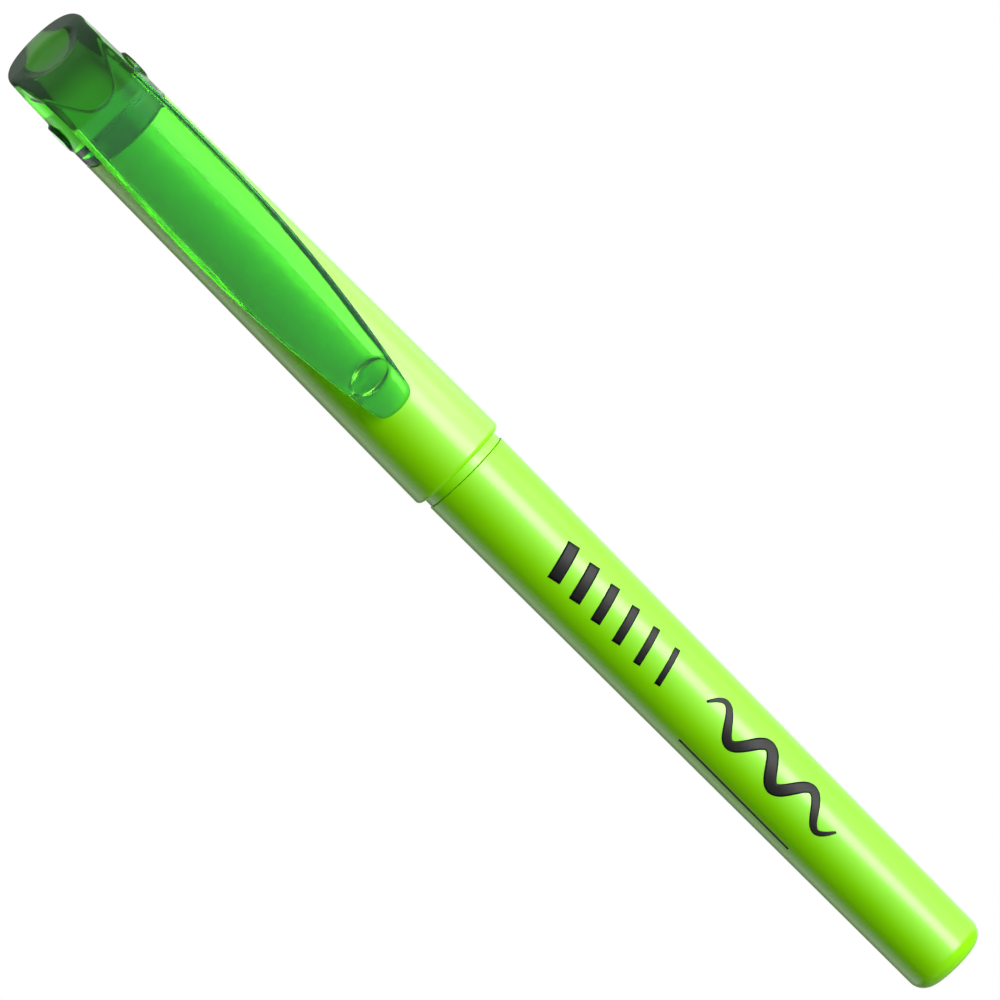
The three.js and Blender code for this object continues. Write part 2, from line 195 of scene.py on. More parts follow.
def divided(profile, spacing):
    """A profile's points, all but the last, with more of them set evenly along each wall."""
    points = []
    for (r0, z0), (r1, z1) in zip(profile, profile[1:]):
        points.append((r0, z0))
        points += [(r0 + (r1 - r0) * (z - z0) / (z1 - z0), z) for z in along_wall(z0, z1, spacing)]
    return points


def near_spoke(angle, count, first, half_width, radius):
    """True where a point at that angle and radius lies on one of count spokes of that half width."""
    step = TAU / count
    offset = (angle - first + step / 2) % step - step / 2
    return abs(radius * math.sin(offset)) < half_width and abs(offset) < math.pi / 2


# ---------------------------------------------------------------- shapes given by their distance


def round_max(a, b, radius):
    """Distance to the overlap of two shapes, its edge rounded to that radius."""
    arc = np.sqrt(np.maximum(a + radius, 0) ** 2 + np.maximum(b + radius, 0) ** 2)
    return np.minimum(-radius, np.maximum(a, b)) + arc


def round_min(a, b, radius):
    """Distance to two shapes joined, the inside corner filled to that radius."""
    return -round_max(-a, -b, radius)


def ellipsoid(x, y, z, radii):
    """Near distance to an ellipsoid about the origin."""
    least_slope = 1e-6
    scaled = np.sqrt((x / radii[0]) ** 2 + (y / radii[1]) ** 2 + (z / radii[2]) ** 2)
    slope = np.sqrt((x / radii[0] ** 2) ** 2 + (y / radii[1] ** 2) ** 2 + (z / radii[2] ** 2) ** 2)
    return scaled * (scaled - 1) / np.maximum(slope, least_slope)


def distance_to_outline(x, z, outline):
    """Signed distance in the x, z plane to a closed outline of points, negative inside."""
    best = np.full(np.broadcast(x, z).shape, np.inf)
    inside = np.zeros(best.shape, bool)
    for (x0, z0), (x1, z1) in zip(outline, outline[1:] + outline[:1]):
        dx, dz = x1 - x0, z1 - z0
        along = np.clip(((x - x0) * dx + (z - z0) * dz) / (dx * dx + dz * dz), 0, 1)
        best = np.minimum(best, (x - x0 - along * dx) ** 2 + (z - z0 - along * dz) ** 2)
        if z0 != z1:
            crosses = ((z0 <= z) != (z1 <= z)) & (x < x0 + (z - z0) * dx / dz)
            inside ^= crosses
    return np.where(inside, -1, 1) * np.sqrt(best)


def gradient(distance, points):
    """Slope of a distance at each point."""
    step = 0.002
    columns = []
    for axis in range(3):
        ahead, behind = points.copy(), points.copy()
        ahead[:, axis] += step
        behind[:, axis] -= step
        columns.append((distance(*ahead.T) - distance(*behind.T)) / (2 * step))
    return np.stack(columns, 1)


def skin(name, distance, low, high, step):
    """A closed mesh of quads on the surface where distance(x, y, z) is 0, inside the box low to high.

    One point stands in each grid cell that the surface crosses, at the mean of the crossings on the cell's
    edges, and is then moved onto the surface. Four neighbouring cells make a quad.
    """
    below, above = 1.5, 2  # steps of margin round the box
    axes = [np.arange(a - below * s, b + above * s, s) for a, b, s in zip(low, high, step)]
    grid = np.meshgrid(*axes, indexing="ij", sparse=True)
    value = np.broadcast_to(distance(*grid), [len(a) for a in axes])
    inside = value < 0
    cells = [n - 1 for n in value.shape]
    total = np.zeros(cells + [3])
    crossings = np.zeros(cells)
    origin = np.array([a[0] for a in axes])
    quads = []
    for axis in range(3):
        others = [a for a in range(3) if a != axis]
        near = [slice(None)] * 3
        far = [slice(None)] * 3
        near[axis], far[axis] = slice(0, -1), slice(1, None)
        a, b = value[tuple(near)], value[tuple(far)]
        edges = np.argwhere(inside[tuple(near)] != inside[tuple(far)])
        va, vb = a[tuple(edges.T)], b[tuple(edges.T)]
        spot = edges.astype(float)
        spot[:, axis] += va / (va - vb)
        around = []
        for back0, back1 in ((1, 1), (0, 1), (0, 0), (1, 0)):
            cell = edges.copy()
            cell[:, others[0]] -= back0
            cell[:, others[1]] -= back1
            np.add.at(total, tuple(cell.T), spot)
            np.add.at(crossings, tuple(cell.T), 1)
            around.append(np.ravel_multi_index(cell.T, cells))
        quad = np.stack(around, 1)
        flip = (va > 0) if axis != 1 else (va < 0)
        quad[flip] = quad[flip][:, ::-1]
        quads.append(quad)
    used = crossings > 0
    number = np.full(cells, -1)
    number[used] = np.arange(used.sum())
    points = origin + total[used] / crossings[used][:, None] * np.array(step)
    moves = 6
    reach = 0.7 * max(step)  # the farthest that they take a point
    least_size = 0.05
    start = points.copy()
    for _ in range(moves):
        slope = gradient(distance, points)
        size = np.maximum((slope ** 2).sum(1), least_size)
        points = points - slope * (distance(*points.T) / size)[:, None]
        points = start + np.clip(points - start, -reach, reach)
    faces = number.ravel()[np.concatenate(quads)]
    return mesh_object(name, points, faces.tolist())


# ---------------------------------------------------------------- barrel side


def barrel_outer_r(z):
    """Outer radius of the barrel, which widens evenly from its tail to its front."""
    length = BARREL_LENGTH - TAIL_FILLET
    return BARREL_TAIL_R + (BARREL_FRONT_R - BARREL_TAIL_R) * (z - TAIL_FILLET) / length


def barrel_bore_r(z):
    """Inner radius of the barrel."""
    return barrel_outer_r(z) - BARREL_WALL


def make_barrel():
    """The moulded tube, closed and rounded at the tail, with ribs inside that centre the reservoir."""
    floor_z = 1.4
    rib_count, rib_half_width = 4, 0.4
    rib_low_z, rib_high_z = 1.7, 15
    rib_inner_r = 3.77
    outline = rounded([
        (0, 0),
        (barrel_outer_r(0), 0, TAIL_FILLET),
        (BARREL_FRONT_R, BARREL_LENGTH, 0.08),
        (barrel_bore_r(BARREL_LENGTH), BARREL_LENGTH, 0.1),
        (barrel_bore_r(0), floor_z, 0.8),
        (0, floor_z),
    ], steps=12)
    profile = divided(outline, spacing=2.5) + [outline[-1]]

    def ribs(radius, z, angle):
        on_rib = near_spoke(angle, rib_count, 0, rib_half_width, radius)
        on_bore = radius < barrel_bore_r(z) + 0.05
        if on_rib and on_bore and rib_low_z < z < rib_high_z:
            radius = min(radius, rib_inner_r)
        return radius, z

    return lathe("barrel.shell", profile, segments=160, shape=ribs)


def make_front_section():
    """Plug, neck ring, lands that guide the cap, nose, and the bore that holds the nib."""
    plug_z, plug_gap = 60, 0.07
    hollow_r, hollow_top_z = 3.75, 68.6
    collar_z, collar_top_z = BARREL_LENGTH + 0.03, 75.6
    collar_r = 5.08
    land_r, land_top_z = 4.6, 81.7
    bead_r, bead_z = 4.72, 79.2
    nose_r, nose_bend_z = 3.9, 88.6
    taper_r, taper_z = 3.05, 95.5
    tip_r = 2.95
    bore_r, bore_back_z = 2.27, 72
    groove_z = 86
    groove_count, groove_half_width, groove_depth = 4, 0.28, 0.32
    profile = rounded([
        (hollow_r, plug_z + 4),
        (hollow_r, plug_z, 0.1),
        (barrel_bore_r(plug_z) - 0.3, plug_z, 0.1),
        (barrel_bore_r(plug_z + 1) - plug_gap, plug_z + 1, 0.2),
        (barrel_bore_r(BARREL_LENGTH) - plug_gap, collar_z, 0),
        (collar_r, collar_z, 0.06),
        (collar_r, collar_top_z, 0.28),
        (land_r, collar_top_z, 0.12),
        (land_r, 78.6, 0.2),
        (bead_r, bead_z, 0.2),
        (land_r, 79.8, 0.2),
        (land_r, land_top_z, 0.35),
        (nose_r, land_top_z, 0.15),
        (nose_r, nose_bend_z, 0.8),
        (taper_r, taper_z, 1.2),
        (tip_r, NOSE_TOP_Z, 0.28),
        (bore_r, NOSE_TOP_Z, 0.08),
        (bore_r, groove_z, 0),
        (bore_r, bore_back_z, 0.5),
        (hollow_r, hollow_top_z, 0.5),
        (hollow_r, plug_z + 4),
    ], steps=5)[:-1]

    def air_grooves(radius, z, angle):
        on_bore = z > groove_z and radius < 2.5
        if on_bore and near_spoke(angle, groove_count, TAU / 8, groove_half_width, 2.4):
            radius = radius + groove_depth
        return radius, z

    return lathe("front.section", profile, segments=128, shape=air_grooves)


def nib_distance(x, y, z):
    """The felt rod: a spike at its back and a slanted chisel edge at its tip."""
    point_r, spike_r, rod_r = 0.7, 1.4, 2.2
    spike_z = NIB_BACK_Z + 1.6
    shoulder_z, rod_z = 68.6, 70.2
    wedge_z = NOSE_TOP_Z + 0.7
    edge_half = 1.15
    wedge_facing = 0.983
    slant_x, slant_slope, slant_facing = 1.7, 0.615, 0.852

    heights = [NIB_BACK_Z, spike_z, shoulder_z, rod_z]
    wall_r = np.interp(z, heights, [point_r, spike_r, spike_r, rod_r])
    rod = round_max(np.hypot(x, y) - wall_r, NIB_BACK_Z - z, 0.2)
    half_depth = np.interp(z, [wedge_z, NIB_TIP_Z], [rod_r, edge_half])
    wedge = (np.abs(y) - half_depth) * wedge_facing
    slant = (z - NIB_TIP_Z - (x - slant_x) * slant_slope) * slant_facing
    top = z - NIB_TIP_Z
    tip = round_max(round_max(slant, top, 0.3), wedge, 0.22)
    return round_max(rod, tip, 0.22)


def make_nib():
    """The felt nib, with its back end inside the reservoir."""
    half = 2.3
    low = (-half, -half, NIB_BACK_Z)
    high = (half, half, NIB_TIP_Z)
    return skin("nib.felt", nib_distance, low, high, step=(0.15, 0.15, 0.2))


# ---------------------------------------------------------------- cap side


def sleeve_outer_r(z):
    """Outer radius of the sleeve, which narrows evenly from its mouth to its top."""
    length = JOINT_Z + 2 - SLEEVE_MOUTH_Z
    return SLEEVE_MOUTH_R + (SLEEVE_TOP_R - SLEEVE_MOUTH_R) * (z - SLEEVE_MOUTH_Z) / length


def make_cap_sleeve():
    """The opaque tube: a rounded lip, a snap bead inside, and a slanted top edge against the crown."""
    slant_z = 119
    taper_z = 110
    land_r = 4.98
    bead_r = 4.8
    mouth_r = 5.25
    outline = rounded([
        (SLEEVE_BORE_R, taper_z),
        (land_r, 81.8, 0.3),
        (bead_r, 80.7, 0.2),
        (bead_r, 80.1, 0.2),
        (land_r, 79, 0.3),
        (land_r, SLEEVE_MOUTH_Z + 2, 0.2),
        (mouth_r, SLEEVE_MOUTH_Z + 1.5, 0.2),
        (mouth_r, SLEEVE_MOUTH_Z, 0.15),
        (SLEEVE_MOUTH_R, SLEEVE_MOUTH_Z, 0.5),
        (sleeve_outer_r(JOINT_Z), JOINT_Z, 0.08),
        (SLEEVE_BORE_R, JOINT_Z, 0.08),
        (SLEEVE_BORE_R, taper_z),
    ], steps=8)
    profile = divided(outline, spacing=1.5)

    def slanted_top(radius, z, angle):
        share = max(0, (z - slant_z) / (JOINT_Z - slant_z))
        return radius, z + share * JOINT_SLOPE * radius * math.sin(angle)

    return lathe("cap.sleeve", profile, segments=160, shape=slanted_top)


def make_inner_cap():
    """The cup that seals on the nose, with six ribs that hold it in the sleeve."""
    bottom, top = INNER_CAP_Z, 110
    seal_r, seal_top_z = 3.98, 91.5
    cup_r, cup_z = 3.45, 97
    wall = 0.7
    foot_r = 4.82
    rib_top_z, rib_r = 106, 4.62
    rib_count, rib_half_width = 6, 0.3
    profile = rounded([
        (0, top),
        (cup_r, top, 0.3),
        (cup_r, cup_z, 1),
        (seal_r, seal_top_z, 1),
        (seal_r, bottom, 0.2),
        (foot_r, bottom, 0.15),
        (foot_r, bottom + 1.4, 0.15),
        (seal_r + wall, bottom + 1.8, 0.1),
        (seal_r + wall, seal_top_z, 1),
        (cup_r + wall, cup_z, 1),
        (cup_r + wall, rib_top_z, 0),
        (cup_r + wall, top + wall, 0.6),
        (0, top + wall),
    ], steps=5)

    def ribs(radius, z, angle):
        on_rib = near_spoke(angle, rib_count, 0, rib_half_width, 4.4)
        on_outside = radius > cup_r + 0.55
        if on_rib and on_outside and bottom + 2 < z < rib_top_z + 0.2:
            radius = max(radius, rib_r)
        return radius, z

    return lathe("inner.cap", profile, segments=144, shape=ribs)


def quadratic(start, control, end, steps):
    """Points along a quadratic curve, its end left out."""
    curve = []
    for i in range(steps):
        t = i / steps
        curve.append(tuple(
            (1 - t) ** 2 * a + 2 * t * (1 - t) * b + t * t * c for a, b, c in zip(start, control, end)
        ))
    return curve


def clip_outline():
    """The clip from the front, in x and z: nearly parallel sides that draw in to a blunt tip."""
    half = CLIP_HALF_WIDTH
    tip_half = half - 2.5
    top = (CLIP_ROOT_HALF, 140)
    root = (CLIP_ROOT_HALF, 129)
    widest = (half, 112)
    taper_end = (tip_half, CLIP_TIP_Z + 1.4)
    corner_end = (tip_half - 1.2, CLIP_TIP_Z + 0.15)
    tip = (0, CLIP_TIP_Z)
    right = [top]
    right += quadratic(root, (half, 120), widest, 16)
    right += quadratic(widest, (half, 99.6), taper_end, 24)
    right += quadratic(taper_end, (tip_half - 0.25, CLIP_TIP_Z + 0.35), corner_end, 8)
    right += quadratic(corner_end, (0.5, CLIP_TIP_Z), tip, 4)
    left = [(-x, z) for x, z in reversed(right)]
    return right + [tip] + left


CLIP_OUTLINE = clip_outline()


def vee_height(x):
    """Height of the web's lower edge, a V with a rounded foot, across the gap between crown and clip."""
    foot_half, foot_z, steepness, softness = 1.7, 127.85, 1.76, 0.7
    beyond = np.abs(x) - foot_half
    return foot_z + steepness * (np.sqrt(beyond ** 2 + softness) + beyond) / 2


def hood_distance(y, z):
    """Near distance to the space behind the clip's face and under the crown's leaning top."""
    forward = np.minimum(y - HOOD_TOP_Y, 0)
    upward = np.maximum(z - HOOD_START_Z, 0)
    return ellipsoid(0, forward, upward, (1, HOOD_REACH, HOOD_RISE))


def core_distance(radius, z, hood):
    """The round middle of the crown. It narrows a little towards its top, which the hood cuts aslant."""
    wall_r = np.interp(z, [126.3, 131, 134, 137], [SLEEVE_TOP_R, 5.32, 5.25, 5.1])
    return round_max(radius - wall_r, hood, 0.55)


def boss_distance(x, y, z):
    """The round bosses that stand out at the crown's two sides."""
    centre_z = 128.45
    half_depth, half_height, half_span = 1.9, 1.85, 5.7
    round_bar = (np.hypot(y / half_depth, (z - centre_z) / half_height) - 1) * half_height
    return round_max(round_bar, np.abs(x) - half_span, 0.3)


def web_distance(x, y, z, hood):
    """The web that joins the clip's root to the crown. It ends below in a V."""
    flare, vee_facing = 0.5, 0.6
    half = CLIP_ROOT_HALF + flare * (y - CLIP_FACE_Y) / -CLIP_FACE_Y
    vee = (vee_height(x) - z) * vee_facing
    return round_max(round_max(np.abs(x) - half, hood, 0.3), np.maximum(y, vee), 0.12)


def clip_distance(x, y, z, hood):
    """The clip: a leaning plate, chamfered along its back edges, with a pad on its back near the tip."""
    narrow, wide = 0.25, 0.75
    chamfer_facing = 0.707
    pad_z, pad_radii, pad_sink = 88.4, (2.8, 1.65, 1.7), 0.6

    leaned = x + CLIP_LEAN * np.maximum(CLIP_LEAN_Z - z, 0)
    side = distance_to_outline(leaned, z, CLIP_OUTLINE)
    inner = -hood - CLIP_THICKNESS
    right_width = np.interp(z, [CLIP_TIP_Z + 1, CLIP_TIP_Z + 9], [narrow, wide])
    left_width = np.interp(z, [101, 107], [narrow, wide])
    chamfer_width = np.where(leaned < 0, left_width, right_width)
    chamfer = (side + inner + chamfer_width) * chamfer_facing
    plate = round_max(round_max(side, hood, 0.15), np.maximum(inner, y), 0.05)
    plate = round_max(plate, chamfer, 0.05)
    pad = ellipsoid(leaned, y - (CLIP_INNER_Y - pad_sink), z - pad_z, pad_radii)
    return np.where(y > CLIP_INNER_Y - 0.5, round_min(plate, pad, 0.25), plate)


def dish_distance(x, y, z):
    """The shallow dish in the crown's top, tilted to lie along the hood."""
    dish_y, lift, radii = -2, 0.22, (3.4, 3.3, 0.9)
    lean = math.asin((HOOD_TOP_Y - dish_y) / HOOD_REACH)
    dish_z = HOOD_START_Z + HOOD_RISE * math.cos(lean) + lift
    slope = math.atan(HOOD_RISE / HOOD_REACH * math.tan(lean))
    along = (y - dish_y) * math.cos(slope) + (z - dish_z) * math.sin(slope)
    above = (z - dish_z) * math.cos(slope) - (y - dish_y) * math.sin(slope)
    return ellipsoid(x, along, above, radii)


def crown_distance(x, y, z):
    """The clear moulding: crown, hollow spigot, side bosses, web, clip with its pad, and the dish on top."""
    spigot_r, spigot_top_z = 4.65, 126
    cavity_r, cavity_top_z = 3.95, 123.2
    joint_gap = 0.05

    radius = np.hypot(x, y)
    hood = hood_distance(y, z)
    joint = (JOINT_Z + JOINT_SLOPE * y + joint_gap - z) * JOINT_FACING
    outer = round_min(core_distance(radius, z, hood), boss_distance(x, y, z), 0.15)
    outer = round_max(outer, joint, 0.08)
    outer = round_min(outer, web_distance(x, y, z, hood), 0.2)
    outer = round_min(outer, clip_distance(x, y, z, hood), 0.15)

    spigot = round_max(round_max(radius - spigot_r, SPIGOT_Z - z, 0.35), z - spigot_top_z, 0.1)
    body = round_min(outer, spigot, 0.05)
    cavity = round_max(radius - cavity_r, z - cavity_top_z, 0.8)
    body = round_max(body, -cavity, 0.15)
    return round_max(body, -dish_distance(x, y, z), 0.25)


def make_crown_and_clip():
    """The crown and the clip as one piece, as they are moulded."""
    low = (-6, CLIP_FACE_Y, CLIP_TIP_Z)
    high = (6, 5.7, CROWN_TOP_Z + 0.2)
    return skin("crown.and.clip", crown_distance, low, high, step=(0.18, 0.18, 0.22))


# ---------------------------------------------------------------- print


def ribbon(name, path, widths, columns=6):
    """A printed stroke on the barrel. path holds (z, u), u being millimetres round from the front."""
    lift, sink = 0.022, 0.03
    points, faces = [], []
    rows = len(path)
    for layer in (lift, -sink):
        for i, ((z, u), width) in enumerate(zip(path, widths)):
            z0, u0 = path[max(i - 1, 0)]
            z1, u1 = path[min(i + 1, rows - 1)]
            length = math.hypot(z1 - z0, u1 - u0)
            for j in range(columns + 1):
                offset = width * (j / columns - 0.5)
                height = z - offset * (u1 - u0) / length
                around = u + offset * (z1 - z0) / length
                radius = barrel_outer_r(height) + layer
                angle = around / barrel_outer_r(height)
                points.append((radius * math.sin(angle), -radius * math.cos(angle), height))
    row = columns + 1
    layer_size = rows * row
    for i in range(rows - 1):
        for j in range(columns):
            a = i * row + j
            faces.append((a, a + 1, a + row + 1, a + row))
            b = a + layer_size
            faces.append((b, b + row, b + row + 1, b + 1))
    edge = list(range(row))
    edge += [i * row + columns for i in range(1, rows)]
    edge += [(rows - 1) * row + j for j in reversed(range(columns))]
    edge += [i * row for i in reversed(range(1, rows - 1))]
    for a, b in zip(edge, edge[1:] + edge[:1]):
        faces.append((b, a, a + layer_size, b + layer_size))
    return mesh_object(name, points, faces)


def make_print():
    """A plain black graphic with no lettering: slanted bars, a wavy stroke and a thin line."""
    strokes = []
    bars, bar_z, bar_pitch = 6, 60, 3.1
    bar_centre, bar_length, slant = 0.4, 4.4, 1.1
    bar_width, thinning = 1.5, 0.16
    for i in range(bars):
        z = bar_z - bar_pitch * i
        shares = np.linspace(0, 1, 12) - 0.5
        path = [(z + slant * share, bar_centre + bar_length * share) for share in shares]
        widths = [bar_width - thinning * i] * len(path)
        strokes.append(ribbon(f"print.bar.{i + 1}", path, widths))

    wave_top, wave_bottom = 39, 19.5
    waves, wave_centre, wave_swing = 3, 0.7, 1.5
    end_width, more_width, fullness = 0.25, 1.15, 0.7
    path, widths = [], []
    for t in np.linspace(0, 1, 90):
        z = wave_top + (wave_bottom - wave_top) * t
        path.append((z, wave_centre + wave_swing * math.sin(TAU * waves * t)))
        widths.append(end_width + more_width * math.sin(math.pi * t) ** fullness)
    strokes.append(ribbon("print.wave", path, widths))

    line_top, line_bottom = 38, 21.6
    line_around, line_width = -4.75, 0.3
    path = [(z, line_around) for z in np.linspace(line_top, line_bottom, 30)]
    strokes.append(ribbon("print.line", path, [line_width] * len(path), columns=2))
    return strokes


# ---------------------------------------------------------------- materials


def principled(name):
    """A new material: its node tree, its Principled shader and a helper that adds a node."""
    material = bpy.data.materials.new(name)
    material.use_nodes = True
    tree = material.node_tree
    shader = tree.nodes["Principled BSDF"]

    def add(kind, **values):
        node = tree.nodes.new(kind)
        for key, value in values.items():
            if key in node.inputs:
                node.inputs[key].default_value = value
            else:
                setattr(node, key, value)
        return node

    return material, tree, shader, add


def object_noise(tree, add, scale, detail=2, stretch=(1, 1, 1)):
    """Noise over the object: scale in repeats per metre, and a stretch under 1 draws it out that way."""
    place = add("ShaderNodeTexCoord")
    mapping = add("ShaderNodeMapping")
    mapping.inputs["Scale"].default_value = stretch
    noise = add("ShaderNodeTexNoise", Scale=scale, Detail=detail)
    tree.links.new(place.outputs["Object"], mapping.inputs["Vector"])
    tree.links.new(mapping.outputs["Vector"], noise.inputs["Vector"])
    return noise.outputs["Fac"]


def remap(tree, add, value, from_span, to_span):
    """A value moved from one span to another, and kept inside it."""
    node = add("ShaderNodeMapRange")
    node.inputs["From Min"].default_value, node.inputs["From Max"].default_value = from_span
    node.inputs["To Min"].default_value, node.inputs["To Max"].default_value = to_span
    tree.links.new(value, node.inputs["Value"])
    return node.outputs["Result"]


def bump(tree, add, height, shader, distance):
    """Bumps on a shader's surface, their height in metres at most distance."""
    node = add("ShaderNodeBump", Strength=1, Distance=distance)
    tree.links.new(height, node.inputs["Height"])
    tree.links.new(node.outputs["Normal"], shader.inputs["Normal"])


def two_colours(tree, add, factor, first, second):
    """A mix of two colours: the first where the factor is 0, and the second where it is 1."""
    mix = add("ShaderNodeMix", data_type="RGBA")
    tree.links.new(factor, mix.inputs["Factor"])
    mix.inputs["A"].default_value = (*first, 1)
    mix.inputs["B"].default_value = (*second, 1)
    return mix.outputs["Result"]


def gloss_green():
    """Bright opaque polypropylene: a soft colour drift, faint flow waves and small scuffs in the gloss."""
    material, tree, shader, add = principled("gloss_green")
    drift = remap(tree, add, object_noise(tree, add, scale=60), (0.35, 0.65), (0, 1))
    colour = two_colours(tree, add, drift, (0.285, 0.91, 0.001), (0.315, 0.95, 0.002))
    tree.links.new(colour, shader.inputs["Base Color"])
    scuffs = object_noise(tree, add, scale=900, detail=6, stretch=(1, 1, 0.12))
    tree.links.new(remap(tree, add, scuffs, (0.5, 0.8), (0.1, 0.2)), shader.inputs["Roughness"])
    shader.inputs["IOR"].default_value = 1.5
    waves = object_noise(tree, add, scale=140, detail=1, stretch=(1, 1, 0.4))
    bump(tree, add, waves, shader, distance=0.00004)
    return material


def clear_green():
    """Transparent emerald plastic, coloured by the depth of it that light crosses and by a tinted gloss."""
    material, tree, shader, add = principled("clear_green")
    shader.inputs["Base Color"].default_value = (0.4, 1, 0.35, 1)
    shader.inputs["Transmission Weight"].default_value = 0.94
    shader.inputs["Specular Tint"].default_value = (0.12, 0.5, 0.32, 1)
    shader.inputs["IOR"].default_value = 1.5
    haze = object_noise(tree, add, scale=700, detail=4)
    tree.links.new(remap(tree, add, haze, (0.5, 0.85), (0.03, 0.08)), shader.inputs["Roughness"])
    flow = object_noise(tree, add, scale=180, detail=1, stretch=(1, 1, 0.35))
    bump(tree, add, flow, shader, distance=0.00003)
    volume = add("ShaderNodeVolumeAbsorption")
    volume.inputs["Color"].default_value = (0.69, 0.86, 0.4, 1)
    volume.inputs["Density"].default_value = 800
    tree.links.new(volume.outputs["Volume"], tree.nodes["Material Output"].inputs["Volume"])
    return material


def liner_green():
    """Pale unpolished polypropylene, slightly waxy."""
    material, tree, shader, add = principled("liner_green")
    drift = object_noise(tree, add, scale=120)
    colour = two_colours(tree, add, drift, (0.50, 0.86, 0.32), (0.58, 0.92, 0.38))
    tree.links.new(colour, shader.inputs["Base Color"])
    shader.inputs["Roughness"].default_value = 0.42
    shader.inputs["IOR"].default_value = 1.5
    bump(tree, add, object_noise(tree, add, scale=2600, detail=3), shader, distance=0.00001)
    return material


def nib_felt():
    """Bonded felt soaked with ink: short fibres along the rod, some darker than others."""
    material, tree, shader, add = principled("nib_felt")
    fibres = object_noise(tree, add, scale=5200, detail=4, stretch=(1, 1, 0.12))
    tone = remap(tree, add, fibres, (0.3, 0.7), (0, 1))
    colour = two_colours(tree, add, tone, (0.30, 0.78, 0.006), (0.52, 0.98, 0.02))
    tree.links.new(colour, shader.inputs["Base Color"])
    shader.inputs["Roughness"].default_value = 0.85
    shader.inputs["Sheen Weight"].default_value = 0.3
    bump(tree, add, fibres, shader, distance=0.00006)
    return material


def ink_fibre():
    """Fine fibres that run along the reservoir, soaked with ink."""
    material, tree, shader, add = principled("ink_fibre")
    fibres = object_noise(tree, add, scale=3800, detail=3, stretch=(1, 1, 0.02))
    colour = two_colours(tree, add, fibres, (0.34, 0.8, 0.01), (0.56, 0.98, 0.03))
    tree.links.new(colour, shader.inputs["Base Color"])
    shader.inputs["Roughness"].default_value = 0.9
    bump(tree, add, fibres, shader, distance=0.00008)
    return material


def wrap_film():
    """Thin clear film wound round the fibres, with faint wrinkles."""
    material, tree, shader, add = principled("wrap_film")
    wrinkles = object_noise(tree, add, scale=420, detail=3, stretch=(1, 1, 0.3))
    colour = two_colours(tree, add, wrinkles, (0.76, 0.9, 0.7), (0.84, 0.95, 0.78))
    tree.links.new(colour, shader.inputs["Base Color"])
    shader.inputs["Roughness"].default_value = 0.22
    shader.inputs["Transmission Weight"].default_value = 0.4
    bump(tree, add, wrinkles, shader, distance=0.00004)
    return material


def print_black():
    """Printing ink: satin black, a little thin in places."""
    material, tree, shader, add = principled("print_black")
    thin = remap(tree, add, object_noise(tree, add, scale=2400, detail=4), (0.6, 0.9), (0, 1))
    colour = two_colours(tree, add, thin, (0.006, 0.007, 0.006), (0.03, 0.045, 0.02))
    tree.links.new(colour, shader.inputs["Base Color"])
    shader.inputs["Roughness"].default_value = 0.45
    shader.inputs["Specular IOR Level"].default_value = 0.3
    return material


# ---------------------------------------------------------------- studio


def make_floor():
    """A very large white floor under the tail. It glows, shows no shadow, and only the camera sees it."""
    half = 40
    corners = [(-half, -half, 0), (half, -half, 0), (half, half, 0), (-half, half, 0)]
    mesh = bpy.data.meshes.new("floor")
    mesh.from_pydata(corners, [], [(0, 1, 2, 3)])
    floor = bpy.data.objects.new("floor", mesh)
    bpy.context.scene.collection.objects.link(floor)
    material = bpy.data.materials.new("floor_white")
    material.use_nodes = True
    tree = material.node_tree
    tree.nodes.clear()
    glow = tree.nodes.new("ShaderNodeEmission")
    glow.inputs["Strength"].default_value = 1
    output = tree.nodes.new("ShaderNodeOutputMaterial")
    tree.links.new(glow.outputs["Emission"], output.inputs["Surface"])
    mesh.materials.append(material)
    floor.visible_glossy = False
    floor.visible_diffuse = False
    floor.visible_transmission = False
    floor.visible_shadow = False


# How bright the studio is in each direction round the pen: degrees to the camera's right of the line from the
# pen to the camera, and brightness. LIGHTS stand in a band round the pen, from low down to just above level.
# HIGH_LIGHT is added in a narrow strip near level, and FILL is all that lies above and below the band.
LIGHTS = [
    (-180, 1.3), (-168, 1), (-155, 0.1), (-128, 1.7), (-108, 1.2), (-97, 0.4), (-88, 0.03), (-50, 0),
    (-39, 0.08), (-28, 0.25), (-18, 0.62), (-9, 1), (0, 1.5), (9, 2.15), (19, 3.9), (24, 7.8), (28, 11.5),
    (37, 14.3), (45, 13.6), (50, 10.6), (54, 7.4), (58, 5.4), (69, 3.8), (81, 3.5), (93, 2.7), (108, 1.7),
    (125, 1.6), (150, 1.2), (168, 1.2), (180, 1.3),
]
HIGH_LIGHT = [(-180, 0), (30, 0), (48, 2), (56, 6), (80, 7), (95, 3.5), (125, 2), (150, 0), (180, 0)]
FILL = [
    (-180, 0.3), (-150, 0.25), (-130, 0), (-110, 0), (-90, 0.03), (-20, 0.03), (30, 0), (130, 0),
    (150, 0.25), (180, 0.3),
]
TOP_LIGHT = 0.35  # added overhead
FLOOR_LIGHT = 0.22  # added from underneath
BRIGHTEST = 16  # the brightness that the ramps count as 1


def brightness_ramp(tree, position, stops):
    """Brightness, as a share of BRIGHTEST, by the position round the pen.

    The position goes from 0 straight behind the pen, by its left and its front, to 1 behind it again.
    """
    ramp = tree.nodes.new("ShaderNodeValToRGB")
    elements = ramp.color_ramp.elements
    while len(elements) > 1:
        elements.remove(elements[0])
    for i, (degrees, brightness) in enumerate(stops):
        place = (degrees + 180) / 360
        element = elements[0] if i == 0 else elements.new(place)
        element.position = place
        element.color = (*[brightness / BRIGHTEST] * 3, 1)
    tree.links.new(position, ramp.inputs["Fac"])
    return ramp.outputs["Color"]


